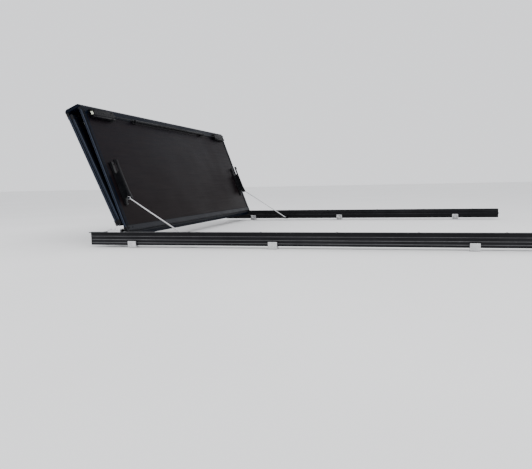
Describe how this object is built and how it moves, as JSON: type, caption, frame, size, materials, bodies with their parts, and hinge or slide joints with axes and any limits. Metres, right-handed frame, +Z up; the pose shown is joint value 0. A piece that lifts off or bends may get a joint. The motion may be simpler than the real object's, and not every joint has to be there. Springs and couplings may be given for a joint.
{
  "type": "tonneau cover",
  "caption": "Hard tri-fold truck bed cover standing folded against its prop rods: framed panels, hinged header, side rails with clamps, corner latches and a release cable.",
  "frame": {"origin": "middle of the underside of the header lip, in the plane of the bed's top edges", "axes": "+X to the tailgate, +Y to the truck's right side, +Z up"},
  "size_m": [2.1065, 1.688, 0.6612],
  "materials": {
    "frame_aluminium": "black anodised, satin",
    "rail_aluminium": "black anodised, worn satin",
    "panel_laminate": "fine-textured dark laminate, semi-gloss",
    "seal_rubber": "EPDM, matt",
    "black_nylon": "moulded, fine grain",
    "bright_steel": "zinc-plated, bright",
    "pale_zinc": "passivated, pale yellowish"
  },
  "bodies": {
    "root": {"header": "frame_aluminium", "header_seal": "seal_rubber", "left_clamp_1": "bright_steel", "left_clamp_2": "bright_steel", "left_clamp_3": "bright_steel", "left_clamp_bolt_1": "bright_steel", "left_clamp_bolt_2": "bright_steel", "left_clamp_bolt_3": "bright_steel", "left_header_bracket": "bright_steel", "left_rail": "rail_aluminium", "left_rail_seal": "seal_rubber", "left_rod_catch": "black_nylon", "right_clamp_1": "bright_steel", "right_clamp_2": "bright_steel", "right_clamp_3": "bright_steel", "right_clamp_bolt_1": "bright_steel", "right_clamp_bolt_2": "bright_steel", "right_clamp_bolt_3": "bright_steel", "right_header_bracket": "bright_steel", "right_rail": "rail_aluminium", "right_rail_seal": "seal_rubber", "right_rod_catch": "black_nylon"},
    "front_panel": {"front_left_latch_housing": "black_nylon", "front_panel_board": "panel_laminate", "front_panel_fold_frame": "frame_aluminium", "front_panel_hinge_frame": "frame_aluminium", "front_panel_left_frame": "frame_aluminium", "front_panel_right_frame": "frame_aluminium", "front_right_latch_housing": "black_nylon", "left_cable_clip": "black_nylon", "left_rod_bracket": "black_nylon", "left_rod_pin": "bright_steel", "release_sleeve": "black_nylon", "right_cable_clip": "black_nylon", "right_rod_bracket": "black_nylon", "right_rod_pin": "bright_steel"},
    "left_rod": {"left_prop_rod": "bright_steel"},
    "right_rod": {"right_prop_rod": "bright_steel"},
    "fold_link": {"fold_hinge_link": "frame_aluminium"},
    "middle_panel": {"middle_panel_board": "panel_laminate", "middle_panel_fold_frame": "frame_aluminium", "middle_panel_left_frame": "frame_aluminium", "middle_panel_pin_frame": "frame_aluminium", "middle_panel_right_frame": "frame_aluminium", "rear_fold_pin": "bright_steel"},
    "rear_panel": {"rear_left_latch_housing": "black_nylon", "rear_panel_board": "panel_laminate", "rear_panel_left_frame": "frame_aluminium", "rear_panel_pin_frame": "frame_aluminium", "rear_panel_right_frame": "frame_aluminium", "rear_panel_tailgate_frame": "frame_aluminium", "rear_right_latch_housing": "black_nylon", "tailgate_seal": "seal_rubber"},
    "front_left_latch": {"front_left_latch_bolt": "pale_zinc", "left_release_cable": "bright_steel"},
    "front_right_latch": {"front_right_latch_bolt": "pale_zinc", "right_release_cable": "bright_steel"},
    "rear_left_latch": {"rear_left_latch_bolt": "pale_zinc"},
    "rear_right_latch": {"rear_right_latch_bolt": "pale_zinc"}
  },
  "joints": [
    {"name": "front_hinge", "type": "hinge", "parent": "root", "child": "front_panel", "pos_m": [0.1, 0, -0.003], "axis": [0, 1, 0], "range_deg": [0, 109.7]},
    {"name": "left_rod_pivot", "type": "hinge", "parent": "front_panel", "child": "left_rod", "pos_m": [0.09503, -0.77, 0.15773], "axis": [0, -1, 0], "range_deg": [0, 142.3]},
    {"name": "right_rod_pivot", "type": "hinge", "parent": "front_panel", "child": "right_rod", "pos_m": [0.09503, 0.77, 0.15773], "axis": [0, -1, 0], "range_deg": [0, 142.3]},
    {"name": "link_hinge", "type": "hinge", "parent": "front_panel", "child": "fold_link", "pos_m": [-0.10799, 0, 0.57789], "axis": [0, 1, 0], "range_deg": [0, 91.93]},
    {"name": "middle_hinge", "type": "hinge", "parent": "fold_link", "child": "middle_panel", "pos_m": [-0.16004, 0, 0.55724], "axis": [0, 1, 0], "range_deg": [0, 91.93]},
    {"name": "rear_hinge", "type": "hinge", "parent": "middle_panel", "child": "rear_panel", "pos_m": [0.06825, 0, 0.03386], "axis": [0, 1, 0], "range_deg": [0, 1.5]},
    {"name": "front_left_latch_slide", "type": "slide", "parent": "front_panel", "child": "front_left_latch", "axis": [0, -1, 0], "range_m": [0, 0.02]},
    {"name": "front_right_latch_slide", "type": "slide", "parent": "front_panel", "child": "front_right_latch", "axis": [0, 1, 0], "range_m": [0, 0.02]},
    {"name": "rear_left_latch_slide", "type": "slide", "parent": "rear_panel", "child": "rear_left_latch", "axis": [0, -1, 0], "range_m": [0, 0.02]},
    {"name": "rear_right_latch_slide", "type": "slide", "parent": "rear_panel", "child": "rear_right_latch", "axis": [0, 1, 0], "range_m": [0, 0.02]}
  ],
  "couplings": [
    {"joint": "left_rod_pivot", "follows": "front_hinge", "ratio": 1.2972},
    {"joint": "right_rod_pivot", "follows": "front_hinge", "ratio": 1.2972},
    {"joint": "middle_hinge", "follows": "link_hinge", "ratio": 1},
    {"joint": "front_right_latch_slide", "follows": "front_left_latch_slide", "ratio": 1},
    {"joint": "rear_right_latch_slide", "follows": "rear_left_latch_slide", "ratio": 1}
  ]
}
